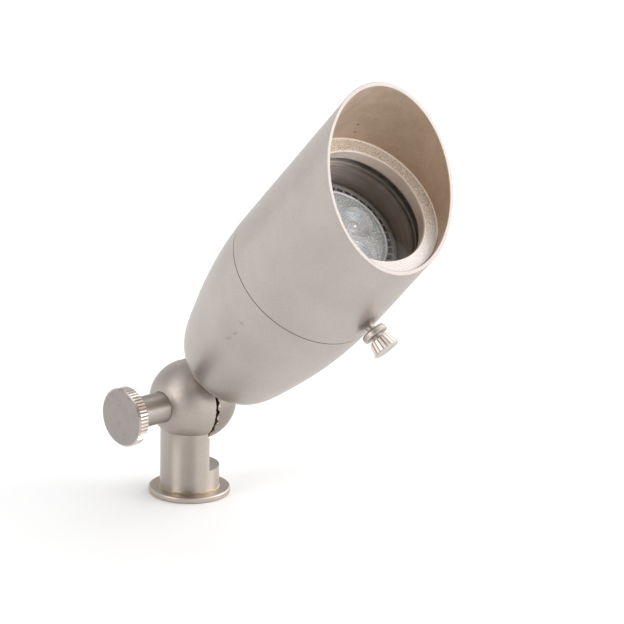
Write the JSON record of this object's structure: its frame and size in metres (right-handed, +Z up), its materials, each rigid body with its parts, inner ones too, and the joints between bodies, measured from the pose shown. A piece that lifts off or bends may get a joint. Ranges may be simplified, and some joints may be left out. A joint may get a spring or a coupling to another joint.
{
  "type": "landscape spotlight",
  "caption": "Adjustable landscape spotlight: bell housing with slanted slip-on glare hood, reflector lamp, toothed tilt knuckle with lock knob, and flanged stem.",
  "frame": {"origin": "centre of the threaded socket's mouth in the underside of the base flange", "axes": "+Z up along the stem, +X along the tilt axis away from the lock knob, the head leans towards -Y"},
  "size_m": [0.0759, 0.1366, 0.1898],
  "materials": {
    "satin_nickel": "satin nickel plate over cast and turned brass",
    "bright_nickel": "bright nickel plate, knurled",
    "brass_joint": "bare brazed brass",
    "machined_brass": "turned brass",
    "plain_steel": "zinc plated",
    "lamp_silver": "silvered die casting",
    "lamp_alloy": "cast, matt",
    "lamp_plastic": "moulded",
    "optic_clear": "clear moulded, textured",
    "board_white": "solder mask",
    "led_phosphor": "phosphor dome",
    "seal_rubber": "matt",
    "seal_silicone": "matt",
    "lens": "clear tempered",
    "ceramic_white": "unglazed ceramic",
    "wire_insulation": "extruded",
    "dark_sleeve": "dark turned inner wall",
    "tip_nylon": "natural"
  },
  "bodies": {
    "stem": {"stem_knuckle": "satin_nickel", "mount_flange": "satin_nickel", "flange_braze": "brass_joint"},
    "clamp_washers": {"knob_flat_washer": "plain_steel", "knob_spring_washer": "plain_steel"},
    "knob": {"lock_knob": "bright_nickel", "knob_stud": "plain_steel"},
    "head": {"bell_housing": "satin_nickel", "knuckle_arm": "satin_nickel", "knuckle_insert": "machined_brass", "neck_o_ring": "seal_rubber", "neck_locknut": "machined_brass", "cord_grommet": "seal_rubber", "housing_o_rings": "seal_rubber", "socket_bracket": "plain_steel", "bracket_screws": "plain_steel", "lamp_socket": "ceramic_white", "socket_screws": "plain_steel", "socket_contacts": "machined_brass", "lead_wires": "wire_insulation", "lamp_retainer": "dark_sleeve"},
    "lamp": {"lamp_rim": "lamp_silver", "lamp_heatsink": "lamp_alloy", "lamp_base": "lamp_plastic", "lamp_pins": "plain_steel", "led_board": "board_white", "led_chips": "led_phosphor", "lamp_optic": "optic_clear"},
    "lens_pack": {"lens_glass": "lens", "lens_gasket": "seal_silicone"},
    "hood": {"glare_hood": "satin_nickel"},
    "screw_tip": {"thumbscrew_tip": "tip_nylon"},
    "thumbscrew": {"hood_thumbscrew": "bright_nickel"}
  },
  "joints": [
    {"name": "head_tilt", "type": "hinge", "parent": "stem", "child": "head", "pos_m": [0, 0, 0.03924], "axis": [1, 0, 0], "range_deg": [-123.58, 36.42]},
    {"name": "knob_travel", "type": "slide", "parent": "stem", "child": "clamp_washers", "axis": [-1, 0, 0], "range_m": [0, 0.002]},
    {"name": "knob_turn", "type": "hinge", "parent": "clamp_washers", "child": "knob", "pos_m": [-0.03, 0, 0.03924], "axis": [-1, 0, 0], "range_deg": [0, 756]},
    {"name": "lamp_unplug", "type": "slide", "parent": "head", "child": "lamp", "axis": [0, -0.6894, 0.7244], "range_m": [0, 0.0068]},
    {"name": "hood_slide", "type": "slide", "parent": "head", "child": "lens_pack", "axis": [0, -0.6894, 0.7244], "range_m": [0, 0.045]},
    {"name": "hood_turn", "type": "hinge", "parent": "lens_pack", "child": "hood", "pos_m": [0.00595, -0.07513, 0.11959], "axis": [0, -0.6894, 0.7244], "continuous": true},
    {"name": "thumbscrew_travel", "type": "slide", "parent": "hood", "child": "screw_tip", "axis": [0.1747, -0.7133, -0.6788], "range_m": [0, 0.0028]},
    {"name": "thumbscrew_turn", "type": "hinge", "parent": "screw_tip", "child": "thumbscrew", "pos_m": [0.01276, -0.09626, 0.0861], "axis": [0.1747, -0.7133, -0.6788], "range_deg": [0, 1501]}
  ],
  "couplings": [
    {"joint": "knob_turn", "follows": "knob_travel", "rad_per_m": 6283.2},
    {"joint": "thumbscrew_turn", "follows": "thumbscrew_travel", "rad_per_m": 8976}
  ]
}
